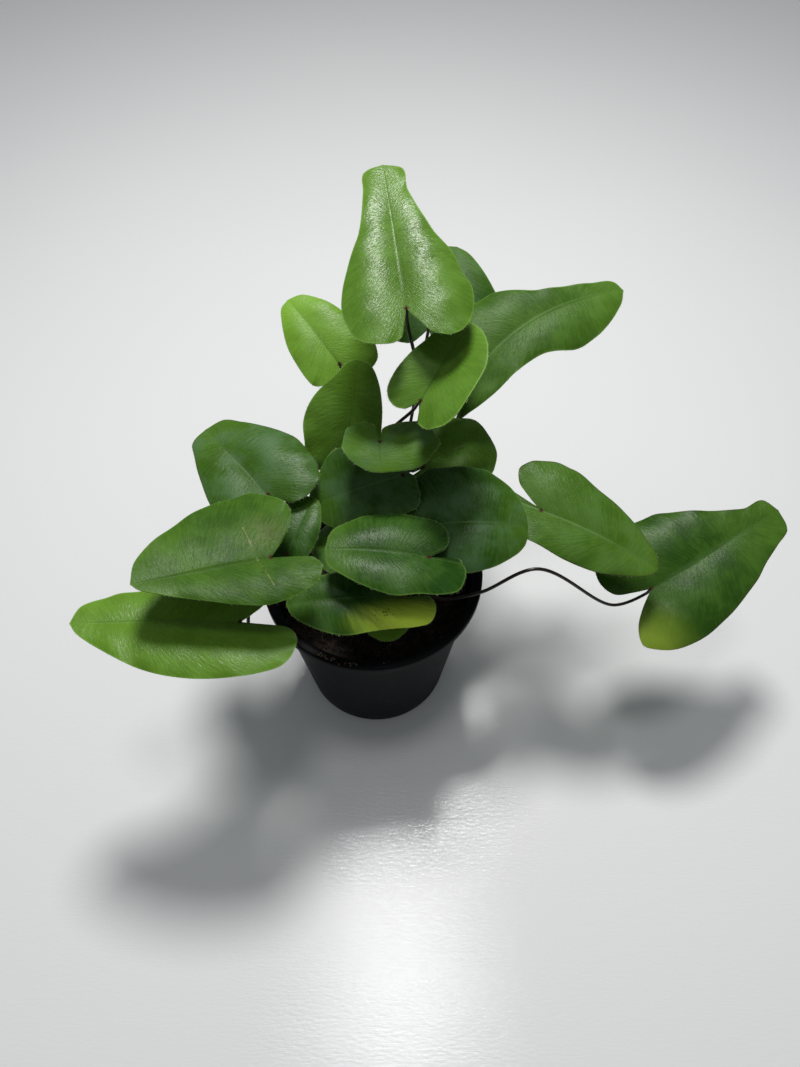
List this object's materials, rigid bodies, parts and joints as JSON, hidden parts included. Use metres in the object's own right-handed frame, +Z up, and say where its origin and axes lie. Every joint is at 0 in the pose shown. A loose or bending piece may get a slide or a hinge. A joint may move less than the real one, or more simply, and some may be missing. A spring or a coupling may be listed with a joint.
{
  "type": "potted heart fern",
  "caption": "Small fern with glossy heart shaped leaves on thin dark stalks, growing from a scaly crown in dark peat in a tapered black plastic nursery pot.",
  "frame": {"origin": "the pot's axis at the plane that the foot of the pot rests on", "axes": "+Z up along the pot's axis, -Y towards the front of the plant, +X along its longest spread, towards the leaf on the long stalk"},
  "size_m": [0.265, 0.1638, 0.1977],
  "materials": {
    "pot": "satin",
    "soil": "matte",
    "rhizome": "matte",
    "blade": "satin",
    "stipe": "gloss"
  },
  "bodies": {
    "root": {"pot": "pot", "soil": "soil", "rhizome": "rhizome", "frond_01_blade": "blade", "frond_01_stipe": "stipe", "frond_02_blade": "blade", "frond_02_stipe": "stipe", "frond_03_blade": "blade", "frond_03_stipe": "stipe", "frond_04_blade": "blade", "frond_04_stipe": "stipe", "frond_05_blade": "blade", "frond_05_stipe": "stipe", "frond_06_blade": "blade", "frond_06_stipe": "stipe", "frond_07_blade": "blade", "frond_07_stipe": "stipe", "frond_08_blade": "blade", "frond_08_stipe": "stipe", "frond_09_blade": "blade", "frond_09_stipe": "stipe", "frond_10_blade": "blade", "frond_10_stipe": "stipe", "frond_11_blade": "blade", "frond_11_stipe": "stipe", "frond_12_blade": "blade", "frond_12_stipe": "stipe", "frond_13_blade": "blade", "frond_13_stipe": "stipe", "frond_14_blade": "blade", "frond_14_stipe": "stipe", "frond_15_blade": "blade", "frond_15_stipe": "stipe", "frond_16_blade": "blade", "frond_16_stipe": "stipe", "frond_17_blade": "blade", "frond_17_stipe": "stipe", "frond_18_blade": "blade", "frond_18_stipe": "stipe", "frond_19_blade": "blade", "frond_19_stipe": "stipe", "frond_20_blade": "blade", "frond_20_stipe": "stipe"}
  },
  "joints": []
}
